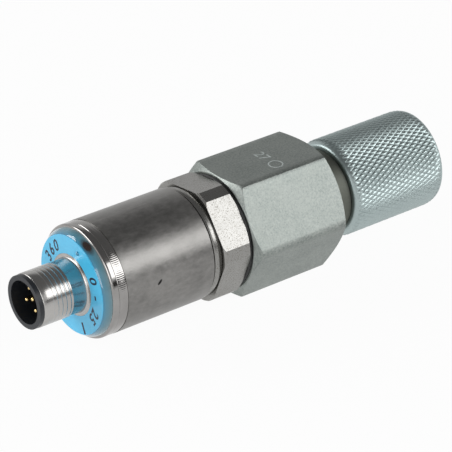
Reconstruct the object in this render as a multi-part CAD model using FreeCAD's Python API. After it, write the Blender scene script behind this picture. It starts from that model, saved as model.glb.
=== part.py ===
"""Pressure transmitter on a test-point adapter, lying on its large hexagon.

The axis runs along X. The origin is on the axis where the thread of the coupling nut begins,
just inside its mouth, and the electrical connector is at the far end, towards -X. Everything
is turned about this axis, so each piece is a profile of (x, radius) points and what is milled,
drilled or moulded into it. A station is a plane across the axis; each one is worked out from
the lengths before it.
"""
import FreeCAD, Part
import math
import os

Vector = FreeCAD.Vector
AXIS = Vector(1, 0, 0)
CENTRE = Vector(0, 0, 0)

# ---- driving dimensions, mm ------------------------------------------------------------
# clearances
TURNING_FIT = 0.05          # radial, between the swivelling nut and its journal
SLIP = 0.03                 # radial, between fixed pieces that slide together in assembly
THREAD_GAP = 0.05           # radial, between a plain stud and the plain bore that it screws in
RING_GAP = 0.12             # all round the retaining wire inside the nut

# coupling nut, M16 x 2
NUT_LENGTH = 25.5
NUT_RADIUS = 11.2
NUT_REAR_RADIUS = 9.8
NUT_REAR_CHAMFER = 2.0
NUT_MOUTH_CHAMFER = 0.6
NUT_THREAD_LENGTH = 10.5
NUT_THREAD_RADIUS = 6.92    # crest of the internal thread
NUT_COUNTERSINK = 1.3
NUT_WALL_AT_RELIEF = 3.05

# adapter
NECK_LENGTH = 5.4
NECK_RADIUS = 9.4
NUT_END_GAP = 0.1
JOURNAL_LENGTH = 8.0
JOURNAL_RADIUS = 8.0
NOSE_LENGTH = 4.6
NOSE_RADIUS = 4.9
HEX_LENGTH = 25.1
HEX_FLATS = 27.0
HEX_FACE_RADIUS = 13.3
HEX_EDGE_BREAK = 0.12       # taken off each long edge, towards the axis
UNDERCUT_WIDTH = 0.5
UNDERCUT_DEPTH = 0.5
PORT_BORE_RADIUS = 6.63     # G 1/4 female port
PORT_BORE_DEPTH = 13.0
PASSAGE_RADIUS = 2.0

# retaining wire of the nut
WIRE_RADIUS = 0.55
WIRE_FROM_SHOULDER = 4.2
WIRE_OPENING = 24.0         # degrees left open

# opener pin and nose seal
OPENER_RADIUS = 1.2
OPENER_REACH = 1.1          # beyond the nose
OPENER_HEAD_LENGTH = 3.2
OPENER_LENGTH = 10.0
OPENER_FLAT = 1.35          # from the axis to each of the three flow flats
NOSE_SEAL_RADIUS = 0.7
NOSE_SEAL_BITE = 0.2        # how far the seal stands out of the nose
NOSE_SEAL_FROM_TIP = 2.3

# profile seal between the transmitter and the adapter
SEAL_THICKNESS = 1.0
SEAL_RADIUS = 12.8
SEAL_BORE_RADIUS = 6.9

# process port: hexagon, stud and tube spigot
PORT_HEX_LENGTH = 9.0
PORT_HEX_FLATS = 25.0
PORT_HEX_CORNER_RADIUS = 13.7
PORT_HEX_ROLL = -7.5        # degrees, how it ended up when it was screwed tight
PORT_HEX_FRONT_RADIUS = 12.55
PORT_HEX_FRONT_CHAMFER = 1.9
PORT_HEX_REAR_RADIUS = 12.9
PORT_HEX_REAR_CHAMFER = 1.0
STUD_LENGTH = 12.0
STUD_CHAMFER = 1.2
STUD_RELIEF_LENGTH = 2.0
STUD_RELIEF_DEPTH = 0.95
PRESSURE_BORE_RADIUS = 1.5
SPIGOT_LENGTH = 4.0
SPIGOT_WALL = 1.4

# housing tube and its welded front ring
TUBE_LENGTH = 22.4
TUBE_RADIUS = 12.65
TUBE_WALL = 1.25
WELD_BAND_LENGTH = 2.2
POLISHED_BAND_LENGTH = 1.5
RING_STEP = 0.05            # radial, from the tube down to the ring welded on it
RING_EDGE_ROUND = 0.55
RING_GROOVE_WIDTH = 0.22
RING_GROOVE_DEPTH = 0.16
RING_WEB = 2.0
RING_SPIGOT_LENGTH = 2.5
RING_SPIGOT_WALL = 1.0

# clear end cap and the label on its front
CAP_THICKNESS = 1.65
CAP_FRONT_RADIUS = 11.07
CAP_REAR_RADIUS = 12.04
CAP_FLANK_BULGE = 0.68      # share of the flank's rise that is reached half way along it
LABEL_THICKNESS = 0.15
LABEL_EDGE = 0.04           # how far the label stops short of the cap's edge

# connector, M12 x 1
SHELL_REACH = 10.96         # from the label to the front of the shell
SHELL_RADIUS = 6.0
SHELL_CHAMFER = 0.25
SHELL_BORE_RADIUS = 5.2
SHELL_THREAD_END = 7.3      # from the front of the shell to the end of its thread
SHELL_NECK_RADIUS = 5.8
COLLAR_RADIUS = 6.86
COLLAR_FLARE = 1.0
FLARE_BEND = (0.6, 0.35)    # shares of the flare's length and rise where its slope changes
SHELL_FLANGE_RADIUS = 9.0
SHELL_FLANGE_THICKNESS = 1.5
CARRIER_LIP = 1.04
CARRIER_LIP_RADIUS = 5.9
CARRIER_CAVITY_RADIUS = 4.8
CARRIER_CAVITY_DEPTH = 8.2
CARRIER_BASE = 4.8
KEY_ROLL = 20.4             # degrees, from straight up towards -Y
KEY_WIDTH = 1.0
KEY_HEIGHT = 0.75
KEY_SETBACK = 0.5
CARRIER_SEAL_RADIUS = 0.4
CARRIER_SEAL_FROM_FLOOR = 2.0

# contacts
PIN_RADIUS = 0.5
PIN_CIRCLE_RADIUS = 2.5
PIN_SETBACK = 1.8
PIN_COLLAR_RADIUS = 0.8
PIN_COLLAR_LENGTH = 0.8
PIN_TAIL = 0.6              # beyond the contact board

# electronics inside the tube
CONTACT_BOARD_THICKNESS = 1.6
MAIN_BOARD_WIDTH = 18.0
MAIN_BOARD_THICKNESS = 1.6
HOLDER_LENGTH = 2.0
HOLDER_WALL = 3.4
HOLDER_SLOT_DEPTH = 1.0
CHIP_SIDE = 6.0
CHIP_HEIGHT = 1.2
CAPACITOR_SIZE = (1.6, 3.2, 1.4)
CAPACITOR_PITCH = 5.0
RIBBON_WIDTH = 5.0
RIBBON_THICKNESS = 0.15
RIBBON_LAP = 3.0

# measuring cell
CELL_RADIUS = 5.0
CELL_THICKNESS = 2.0
CELL_CHAMBER_RADIUS = 3.0
CELL_DIAPHRAGM = 0.4

# ---- stations along X ------------------------------------------------------------------
nut_mouth = NUT_COUNTERSINK
nut_rear = nut_mouth - NUT_LENGTH
journal_start = nut_rear - NUT_END_GAP
neck_start = journal_start - NECK_LENGTH
adapter_face = neck_start - HEX_LENGTH
port_rear = adapter_face - SEAL_THICKNESS
port_front = port_rear - PORT_HEX_LENGTH
ring_rear = port_front - TUBE_LENGTH
ring_groove = ring_rear - WELD_BAND_LENGTH
ring_front = ring_groove - POLISHED_BAND_LENGTH
cap_front = ring_front - CAP_THICKNESS
label_front = cap_front - LABEL_THICKNESS
shell_front = label_front - SHELL_REACH
carrier_front = shell_front - CARRIER_LIP
carrier_floor = carrier_front + CARRIER_CAVITY_DEPTH
carrier_rear = carrier_floor + CARRIER_BASE

journal_end = journal_start + JOURNAL_LENGTH
nose_tip = journal_end + NOSE_LENGTH
wire_station = journal_start + WIRE_FROM_SHOULDER

tube_bore = TUBE_RADIUS - TUBE_WALL
ring_radius = TUBE_RADIUS - RING_STEP
spigot_radius = tube_bore - SLIP
spigot_front = port_front - SPIGOT_LENGTH
ring_web_rear = ring_front + RING_WEB
ring_spigot_rear = ring_rear + RING_SPIGOT_LENGTH
contact_board_rear = ring_spigot_rear + CONTACT_BOARD_THICKNESS
holder_front = spigot_front - HOLDER_LENGTH
main_board_end = holder_front + HOLDER_SLOT_DEPTH
main_board_middle = (contact_board_rear + main_board_end) / 2
nut_bore = JOURNAL_RADIUS + TURNING_FIT
carrier_sleeve_radius = SHELL_BORE_RADIUS - SLIP
stud_radius = PORT_BORE_RADIUS - THREAD_GAP


# ---- helpers ---------------------------------------------------------------------------
def turned(*profile, angle=360):
    """A solid turned about the axis from a closed outline of (x, radius) points."""
    points = [Vector(x, 0, radius) for x, radius in profile]
    return Part.Face(Part.makePolygon(points + points[:1])).revolve(CENTRE, AXIS, angle)


def rod(start, end, radius, across=CENTRE):
    """A round bar along the axis, or beside it by the vector `across`."""
    return Part.makeCylinder(radius, end - start, Vector(start, 0, 0) + across, AXIS)


def tube(start, end, outer, inner):
    """A plain tube along the axis."""
    return rod(start, end, outer).cut(rod(start, end, inner))


def wire_ring(station, centre_radius, section_radius, angle=360):
    """A ring of round section about the axis."""
    section = Part.makeCircle(section_radius, Vector(station, 0, centre_radius), Vector(0, 1, 0))
    return Part.Face(Part.Wire(section)).revolve(CENTRE, AXIS, angle)


def block(low, high):
    """A box from its lowest to its highest corner."""
    return Part.makeBox(high[0] - low[0], high[1] - low[1], high[2] - low[2], Vector(*low))


def rolled(shape, degrees):
    """Turn a shape about the axis, from straight up towards -Y."""
    turned_shape = shape.copy()
    turned_shape.rotate(CENTRE, AXIS, degrees)
    return turned_shape


def hexagon(start, end, flats, roll=0):
    """A hexagonal bar with a flat facing straight up."""
    corner = flats / math.sqrt(3)
    corners = []
    for step in range(7):
        angle = math.radians(60 * step)
        corners.append(Vector(start, corner * math.cos(angle), corner * math.sin(angle)))
    face = Part.Face(Part.makePolygon(corners))
    return rolled(face.extrude(Vector(end - start, 0, 0)), roll)


def save(node, shape):
    """Write one sub-part, after a look at whether it is sound."""
    if not shape.isValid() or shape.Volume <= 0:
        raise ValueError(node + " is not a sound solid")
    shape.exportStep("parts/" + node + ".step")
    print(node, len(shape.Solids), round(shape.Volume, 2))


# ---- connector -------------------------------------------------------------------------
def connector_shell():
    """Turned stainless shell: thread, slim neck, flared collar, and a flange welded behind
    the ring's web."""
    thread_end = shell_front + SHELL_THREAD_END
    flare_start = label_front - COLLAR_FLARE
    bend_station = flare_start + FLARE_BEND[0] * COLLAR_FLARE
    bend_radius = SHELL_NECK_RADIUS + FLARE_BEND[1] * (COLLAR_RADIUS - SHELL_NECK_RADIUS)
    flange_rear = ring_web_rear + SHELL_FLANGE_THICKNESS
    return turned(
        (shell_front, SHELL_BORE_RADIUS),
        (shell_front, SHELL_RADIUS - SHELL_CHAMFER),
        (shell_front + SHELL_CHAMFER, SHELL_RADIUS),
        (thread_end, SHELL_RADIUS),
        (thread_end + (SHELL_RADIUS - SHELL_NECK_RADIUS), SHELL_NECK_RADIUS),
        (flare_start, SHELL_NECK_RADIUS),
        (bend_station, bend_radius),
        (label_front, COLLAR_RADIUS),
        (ring_web_rear, COLLAR_RADIUS),
        (ring_web_rear, SHELL_FLANGE_RADIUS),
        (flange_rear, SHELL_FLANGE_RADIUS),
        (flange_rear, SHELL_BORE_RADIUS),
    )


def contact_directions():
    """Places of the five contacts across the axis: one in the middle, four round it."""
    places = [CENTRE]
    for quarter in range(4):
        angle = math.radians(KEY_ROLL + 45 + 90 * quarter)
        places.append(Vector(0, -math.sin(angle), math.cos(angle)) * PIN_CIRCLE_RADIUS)
    return places


def contact_carrier():
    """Black insert: a lip over the shell's end, a thin sleeve with the key rib, and the solid
    base that holds the contacts and the seal's groove."""
    groove_centre = carrier_floor + CARRIER_SEAL_FROM_FLOOR
    groove_half = CARRIER_SEAL_RADIUS + SLIP
    groove_bottom = SHELL_BORE_RADIUS - 2 * groove_half
    body = turned(
        (carrier_front, CARRIER_CAVITY_RADIUS),
        (carrier_front, CARRIER_LIP_RADIUS),
        (shell_front, CARRIER_LIP_RADIUS),
        (shell_front, carrier_sleeve_radius),
        (groove_centre - groove_half, carrier_sleeve_radius),
        (groove_centre - groove_half, groove_bottom),
        (groove_centre + groove_half, groove_bottom),
        (groove_centre + groove_half, carrier_sleeve_radius),
        (carrier_rear, carrier_sleeve_radius),
        (carrier_rear, 0),
        (carrier_floor, 0),
        (carrier_floor, CARRIER_CAVITY_RADIUS),
    )
    key_bottom = CARRIER_CAVITY_RADIUS - KEY_HEIGHT
    key = block((carrier_front + KEY_SETBACK, -KEY_WIDTH / 2, key_bottom),
                (carrier_floor, KEY_WIDTH / 2, carrier_sleeve_radius - SLIP))
    body = body.fuse(rolled(key, KEY_ROLL))
    for across in contact_directions():
        body = body.cut(rod(carrier_floor, carrier_rear, PIN_RADIUS + SLIP, across))
    return body.removeSplitter()


def contact_pin(across):
    """Gilded contact with a domed tip, and a collar behind the carrier."""
    tip = carrier_front + PIN_SETBACK
    tail = contact_board_rear + PIN_TAIL
    dome = Part.makeSphere(PIN_RADIUS, Vector(tip + PIN_RADIUS, 0, 0) + across)
    shank = rod(tip + PIN_RADIUS, tail, PIN_RADIUS, across)
    collar = rod(carrier_rear, carrier_rear + PIN_COLLAR_LENGTH, PIN_COLLAR_RADIUS, across)
    return shank.fuse([dome, collar]).removeSplitter()


def carrier_seal():
    """Rubber ring between the carrier's base and the shell."""
    centre_radius = SHELL_BORE_RADIUS - SLIP - CARRIER_SEAL_RADIUS
    return wire_ring(carrier_floor + CARRIER_SEAL_FROM_FLOOR, centre_radius, CARRIER_SEAL_RADIUS)


# ---- front of the housing --------------------------------------------------------------
def range_label():
    """Thin printed disc on the front of the clear cap."""
    return tube(label_front, cap_front, CAP_FRONT_RADIUS - LABEL_EDGE, COLLAR_RADIUS + SLIP)


def clear_end_cap():
    """Clear moulded cap with a curved flank, seated on the polished ring."""
    bore = COLLAR_RADIUS + SLIP
    middle = (cap_front + ring_front) / 2
    bulge = CAP_FRONT_RADIUS + CAP_FLANK_BULGE * (CAP_REAR_RADIUS - CAP_FRONT_RADIUS)
    flank = Part.Arc(Vector(cap_front, 0, CAP_FRONT_RADIUS), Vector(middle, 0, bulge),
                     Vector(ring_front, 0, CAP_REAR_RADIUS)).toShape()
    rest = Part.makePolygon([Vector(ring_front, 0, CAP_REAR_RADIUS), Vector(ring_front, 0, bore),
                             Vector(cap_front, 0, bore), Vector(cap_front, 0, CAP_FRONT_RADIUS)])
    outline = Part.Wire([flank] + rest.Edges)
    return Part.Face(outline).revolve(CENTRE, AXIS, 360)


def end_ring():
    """Front cover of the housing: a polished band, a fine groove, the welded band, the web
    that holds the shell, and a spigot in the tube."""
    edge_station = ring_front + RING_EDGE_ROUND
    centre_radius = ring_radius - RING_EDGE_ROUND
    slant = RING_EDGE_ROUND * math.sqrt(0.5)
    edge = Part.Arc(Vector(ring_front, 0, centre_radius),
                    Vector(edge_station - slant, 0, centre_radius + slant),
                    Vector(edge_station, 0, ring_radius)).toShape()
    groove_front = ring_groove - RING_GROOVE_WIDTH / 2
    groove_rear = ring_groove + RING_GROOVE_WIDTH / 2
    spigot_bore = spigot_radius - RING_SPIGOT_WALL
    corners = [
        (edge_station, ring_radius),
        (groove_front, ring_radius),
        (ring_groove, ring_radius - RING_GROOVE_DEPTH),
        (groove_rear, ring_radius),
        (ring_rear, ring_radius),
        (ring_rear, spigot_radius),
        (ring_spigot_rear, spigot_radius),
        (ring_spigot_rear, spigot_bore),
        (ring_web_rear, spigot_bore),
        (ring_web_rear, COLLAR_RADIUS + SLIP),
        (ring_front, COLLAR_RADIUS + SLIP),
        (ring_front, centre_radius),
    ]
    rest = Part.makePolygon([Vector(x, 0, radius) for x, radius in corners])
    outline = Part.Wire([edge] + rest.Edges)
    return Part.Face(outline).revolve(CENTRE, AXIS, 360)


def housing_tube():
    """Satin tube between the front ring and the process port."""
    return tube(ring_rear, port_front, TUBE_RADIUS, tube_bore)


# ---- process port ----------------------------------------------------------------------
def process_port():
    """One turned and milled piece: a spigot and cup in the tube, the hexagon, and the stud
    that screws into the adapter, with the pressure bore through it."""
    bar = turned(
        (port_front, 0),
        (port_front, PORT_HEX_FRONT_RADIUS),
        (port_front + PORT_HEX_FRONT_CHAMFER, PORT_HEX_CORNER_RADIUS),
        (port_rear - PORT_HEX_REAR_CHAMFER, PORT_HEX_CORNER_RADIUS),
        (port_rear, PORT_HEX_REAR_RADIUS),
        (port_rear, 0),
    )
    nut = bar.common(hexagon(port_front, port_rear, PORT_HEX_FLATS, PORT_HEX_ROLL))
    cup = tube(spigot_front, port_front, spigot_radius, spigot_radius - SPIGOT_WALL)
    stud_tip = port_rear + STUD_LENGTH
    stud = turned(
        (port_rear, 0),
        (port_rear, stud_radius - STUD_RELIEF_DEPTH),
        (port_rear + STUD_RELIEF_LENGTH, stud_radius - STUD_RELIEF_DEPTH),
        (port_rear + STUD_RELIEF_LENGTH + STUD_RELIEF_DEPTH, stud_radius),
        (stud_tip - STUD_CHAMFER, stud_radius),
        (stud_tip, stud_radius - STUD_CHAMFER),
        (stud_tip, 0),
    )
    whole = nut.fuse([cup, stud])
    return whole.cut(rod(port_front, stud_tip, PRESSURE_BORE_RADIUS)).removeSplitter()


def sensor_cell():
    """Steel measuring cell welded on the floor of the cup: a chamber behind a thin
    diaphragm."""
    front = port_front - CELL_THICKNESS
    chamber_front = front + CELL_DIAPHRAGM
    chamber_rear = port_front - CELL_DIAPHRAGM
    return turned(
        (front, 0),
        (front, CELL_RADIUS),
        (port_front, CELL_RADIUS),
        (port_front, PRESSURE_BORE_RADIUS),
        (chamber_rear, PRESSURE_BORE_RADIUS),
        (chamber_rear, CELL_CHAMBER_RADIUS),
        (chamber_front, CELL_CHAMBER_RADIUS),
        (chamber_front, 0),
    )


# ---- electronics -----------------------------------------------------------------------
def contact_board():
    """Round board against the front ring's spigot, with the contacts soldered through it."""
    board = rod(ring_spigot_rear, contact_board_rear, spigot_radius)
    for across in contact_directions():
        board = board.cut(rod(ring_spigot_rear, contact_board_rear, PIN_RADIUS + SLIP, across))
    return board


def main_board():
    """Board that carries the amplifier: it stands on the contact board, clear of the contacts'
    tails, and its other end sits in the holder."""
    half_width = MAIN_BOARD_WIDTH / 2
    half_thickness = MAIN_BOARD_THICKNESS / 2
    board = block((contact_board_rear, -half_width, -half_thickness),
                  (main_board_end, half_width, half_thickness))
    tails_end = contact_board_rear + PIN_TAIL + SLIP
    return board.cut(rod(contact_board_rear, tails_end, PIN_CIRCLE_RADIUS + 2 * PIN_RADIUS))


def board_holder():
    """Plastic ring on the port's spigot, slotted for the main board's end."""
    ring = tube(holder_front, spigot_front, spigot_radius, spigot_radius - HOLDER_WALL)
    half_width = MAIN_BOARD_WIDTH / 2 + SLIP
    half_thickness = MAIN_BOARD_THICKNESS / 2 + SLIP
    slot = block((holder_front, -half_width, -half_thickness),
                 (main_board_end, half_width, half_thickness))
    return ring.cut(slot)


def amplifier_chip():
    """Flat chip in the middle of the main board."""
    top = MAIN_BOARD_THICKNESS / 2
    half = CHIP_SIDE / 2
    return block((main_board_middle - half, -half, top),
                 (main_board_middle + half, half, top + CHIP_HEIGHT))


def capacitors():
    """A row of small capacitors under the main board."""
    length, width, height = CAPACITOR_SIZE
    bottom = -MAIN_BOARD_THICKNESS / 2
    row = []
    for place in (-1, 0, 1):
        across = place * CAPACITOR_PITCH
        row.append(block((main_board_middle - length / 2, across - width / 2, bottom - height),
                         (main_board_middle + length / 2, across + width / 2, bottom)))
    return Part.makeCompound(row)


def cell_ribbon():
    """Thin ribbon from the measuring cell to the top of the main board."""
    cell_front = port_front - CELL_THICKNESS
    top = MAIN_BOARD_THICKNESS / 2
    half = RIBBON_WIDTH / 2
    along = block((main_board_end - RIBBON_LAP, -half, top),
                  (cell_front, half, top + RIBBON_THICKNESS))
    down = block((cell_front - RIBBON_THICKNESS, -half, -half), (cell_front, half, top))
    return along.fuse(down).removeSplitter()


# ---- adapter ---------------------------------------------------------------------------
def seal_ring():
    """Profile seal clamped between the transmitter's hexagon and the adapter."""
    return tube(port_rear, adapter_face, SEAL_RADIUS, SEAL_BORE_RADIUS)


def adapter_body():
    """Plated adapter: female port, large hexagon, neck, the nut's journal with the wire's
    groove, and the sealed nose with the passage through it."""
    corner = HEX_FLATS / math.sqrt(3)
    cone = (corner - HEX_FACE_RADIUS) * math.tan(math.radians(30))
    bar = turned(
        (adapter_face, 0),
        (adapter_face, HEX_FACE_RADIUS),
        (adapter_face + cone, corner),
        (neck_start - cone, corner),
        (neck_start, HEX_FACE_RADIUS),
        (neck_start, 0),
    )
    edges = hexagon(adapter_face, neck_start, 2 * (corner - HEX_EDGE_BREAK), 30)
    large_hex = bar.common(hexagon(adapter_face, neck_start, HEX_FLATS)).common(edges)
    seal_station = nose_tip - NOSE_SEAL_FROM_TIP
    seal_half = NOSE_SEAL_RADIUS + SLIP
    seal_bottom = NOSE_RADIUS + NOSE_SEAL_BITE - 2 * seal_half
    wire_half = WIRE_RADIUS + SLIP
    wire_bottom = JOURNAL_RADIUS + TURNING_FIT / 2 - wire_half
    edge = NOSE_RADIUS - 2 * NOSE_SEAL_BITE
    shaft = turned(
        (neck_start, 0),
        (neck_start, NECK_RADIUS - UNDERCUT_DEPTH),
        (neck_start + UNDERCUT_WIDTH, NECK_RADIUS - UNDERCUT_DEPTH),
        (neck_start + UNDERCUT_WIDTH, NECK_RADIUS),
        (journal_start, NECK_RADIUS),
        (journal_start, JOURNAL_RADIUS),
        (wire_station - wire_half, JOURNAL_RADIUS),
        (wire_station - wire_half, wire_bottom),
        (wire_station + wire_half, wire_bottom),
        (wire_station + wire_half, JOURNAL_RADIUS),
        (journal_end, JOURNAL_RADIUS),
        (journal_end, NOSE_RADIUS),
        (seal_station - seal_half, NOSE_RADIUS),
        (seal_station - seal_half, seal_bottom),
        (seal_station + seal_half, seal_bottom),
        (seal_station + seal_half, NOSE_RADIUS),
        (nose_tip - (NOSE_RADIUS - edge), NOSE_RADIUS),
        (nose_tip, edge),
        (nose_tip, 0),
    )
    port = turned(
        (adapter_face, 0),
        (adapter_face, PORT_BORE_RADIUS),
        (adapter_face + PORT_BORE_DEPTH, PORT_BORE_RADIUS),
        (adapter_face + PORT_BORE_DEPTH + PORT_BORE_RADIUS * math.tan(math.radians(30)), 0),
    )
    passage = rod(adapter_face, nose_tip, PASSAGE_RADIUS)
    return large_hex.fuse(shaft).cut([port, passage]).removeSplitter()


def opener_pin():
    """Steel pin that opens the test point: a head with three flow flats, pressed in the
    passage, and a slim stem that reaches past the nose."""
    tip = nose_tip + OPENER_REACH
    start = tip - OPENER_LENGTH
    head_end = start + OPENER_HEAD_LENGTH
    head = rod(start, head_end, PASSAGE_RADIUS - SLIP)
    for third in range(3):
        flat = block((start, -PASSAGE_RADIUS, OPENER_FLAT), (head_end, PASSAGE_RADIUS, PASSAGE_RADIUS))
        head = head.cut(rolled(flat, 120 * third))
    stem = turned((start, 0), (start, OPENER_RADIUS), (tip - OPENER_RADIUS / 2, OPENER_RADIUS),
                  (tip, OPENER_RADIUS / 2), (tip, 0))
    return head.fuse(stem).removeSplitter()


def nose_seal():
    """Rubber ring on the nose, which seals in the test point."""
    centre_radius = NOSE_RADIUS + NOSE_SEAL_BITE - NOSE_SEAL_RADIUS
    return wire_ring(nose_tip - NOSE_SEAL_FROM_TIP, centre_radius, NOSE_SEAL_RADIUS)


def retaining_wire():
    """Open spring-wire ring, half in the journal and half in the nut, that holds the nut on
    and lets it turn."""
    ring = wire_ring(wire_station, JOURNAL_RADIUS + TURNING_FIT / 2, WIRE_RADIUS, 360 - WIRE_OPENING)
    return rolled(ring, 180 + WIRE_OPENING / 2)


def coupling_nut():
    """Knurled nut: a chamfered rear that runs on the journal, the wire's groove, a relief,
    and the thread up to the countersunk mouth."""
    thread_start = -NUT_THREAD_LENGTH
    relief = NUT_RADIUS - NUT_WALL_AT_RELIEF
    wire_half = WIRE_RADIUS + RING_GAP
    wire_bottom = JOURNAL_RADIUS + TURNING_FIT / 2 + wire_half
    return turned(
        (nut_rear, nut_bore),
        (nut_rear, NUT_REAR_RADIUS),
        (nut_rear + NUT_REAR_CHAMFER, NUT_RADIUS),
        (nut_mouth - NUT_MOUTH_CHAMFER, NUT_RADIUS),
        (nut_mouth, NUT_RADIUS - NUT_MOUTH_CHAMFER),
        (nut_mouth, NUT_THREAD_RADIUS + NUT_COUNTERSINK),
        (0, NUT_THREAD_RADIUS),
        (thread_start, NUT_THREAD_RADIUS),
        (thread_start - (relief - NUT_THREAD_RADIUS), relief),
        (journal_end + TURNING_FIT, relief),
        (journal_end + TURNING_FIT - (relief - nut_bore), nut_bore),
        (wire_station + wire_half, nut_bore),
        (wire_station + wire_half, wire_bottom),
        (wire_station - wire_half, wire_bottom),
        (wire_station - wire_half, nut_bore),
    )


# ---- build -----------------------------------------------------------------------------
os.makedirs("parts", exist_ok=True)
save("connector_shell", connector_shell())
save("contact_carrier", contact_carrier())
save("carrier_seal", carrier_seal())
for number, place in enumerate(contact_directions(), start=1):
    save("contact_pin_" + str(number), contact_pin(place))
save("range_label", range_label())
save("clear_end_cap", clear_end_cap())
save("end_ring", end_ring())
save("housing_tube", housing_tube())
save("process_port", process_port())
save("sensor_cell", sensor_cell())
save("contact_board", contact_board())
save("main_board", main_board())
save("board_holder", board_holder())
save("amplifier_chip", amplifier_chip())
save("capacitors", capacitors())
save("cell_ribbon", cell_ribbon())
save("seal_ring", seal_ring())
save("adapter_body", adapter_body())
save("opener_pin", opener_pin())
save("nose_seal", nose_seal())
save("retaining_wire", retaining_wire())
save("coupling_nut", coupling_nut())
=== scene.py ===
"""Looks of the pressure transmitter on its test-point adapter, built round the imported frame.

The axis runs along X. The sections follow the object as it is put together, from the adapter
with its swivel nut to the transmitter's housing and connector, and end with the studio.
"""
import math

import bpy
import bmesh
from mathutils import Matrix, Vector


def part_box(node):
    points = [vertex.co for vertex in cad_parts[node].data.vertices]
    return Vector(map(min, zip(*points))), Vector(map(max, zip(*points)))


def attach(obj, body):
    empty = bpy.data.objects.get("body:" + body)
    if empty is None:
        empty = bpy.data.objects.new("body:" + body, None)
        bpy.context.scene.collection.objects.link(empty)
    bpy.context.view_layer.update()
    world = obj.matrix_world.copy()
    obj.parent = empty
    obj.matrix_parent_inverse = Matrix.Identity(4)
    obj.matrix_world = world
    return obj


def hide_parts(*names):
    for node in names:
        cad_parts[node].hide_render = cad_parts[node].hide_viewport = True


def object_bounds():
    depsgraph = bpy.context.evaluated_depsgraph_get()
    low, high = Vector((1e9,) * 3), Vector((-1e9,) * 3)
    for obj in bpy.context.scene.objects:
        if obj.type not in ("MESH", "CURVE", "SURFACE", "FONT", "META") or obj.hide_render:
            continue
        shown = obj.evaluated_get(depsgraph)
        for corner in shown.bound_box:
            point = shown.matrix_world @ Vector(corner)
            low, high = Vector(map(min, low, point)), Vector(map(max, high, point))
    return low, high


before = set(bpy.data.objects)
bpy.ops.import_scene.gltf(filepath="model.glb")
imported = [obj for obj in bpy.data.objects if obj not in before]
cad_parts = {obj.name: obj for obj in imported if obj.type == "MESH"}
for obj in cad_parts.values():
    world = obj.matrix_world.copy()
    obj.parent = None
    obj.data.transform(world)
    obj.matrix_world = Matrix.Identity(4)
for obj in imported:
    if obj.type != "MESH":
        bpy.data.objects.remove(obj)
cad_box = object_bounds()
MM = 0.001

# ---- adapter body ----------------------------------------------------------------------
# The large steel hexagon with its slim neck, journal and nose, turned and milled from bar.
# It is zinc plated and blue passivated: pale, cool, finely grained. The upper flat carries its
# size and a plain circle, raised, and coloured paler than the zinc as a painted highlight of
# their edges catching the light.


def outwards_at(roll):
    """The direction straight out from the axis, at a roll in degrees from straight up
    towards -Y."""
    angle = math.radians(roll)
    return Vector((0, -math.sin(angle), math.cos(angle)))


def axes_matrix(x_axis, y_axis, z_axis, origin):
    """The matrix that takes a piece made at the origin to these axes at this place."""
    matrix = Matrix((x_axis, y_axis, z_axis)).transposed().to_4x4()
    matrix.translation = origin
    return matrix


class Signal:
    """A value that varies over a surface. Arithmetic on it adds Math nodes to its finish."""

    def __init__(self, finish, socket):
        self.finish = finish
        self.socket = socket

    def combine(self, operation, first, second):
        return self.finish.add("ShaderNodeMath", {"operation": operation}, {0: first, 1: second})

    def __add__(self, other):
        return self.combine("ADD", self, other)

    def __radd__(self, other):
        return self.combine("ADD", other, self)

    def __sub__(self, other):
        return self.combine("SUBTRACT", self, other)

    def __rsub__(self, other):
        return self.combine("SUBTRACT", other, self)

    def __mul__(self, other):
        return self.combine("MULTIPLY", self, other)

    def __rmul__(self, other):
        return self.combine("MULTIPLY", other, self)

    def __truediv__(self, other):
        return self.combine("DIVIDE", self, other)

    def __pow__(self, other):
        return self.combine("POWER", self, other)


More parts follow.
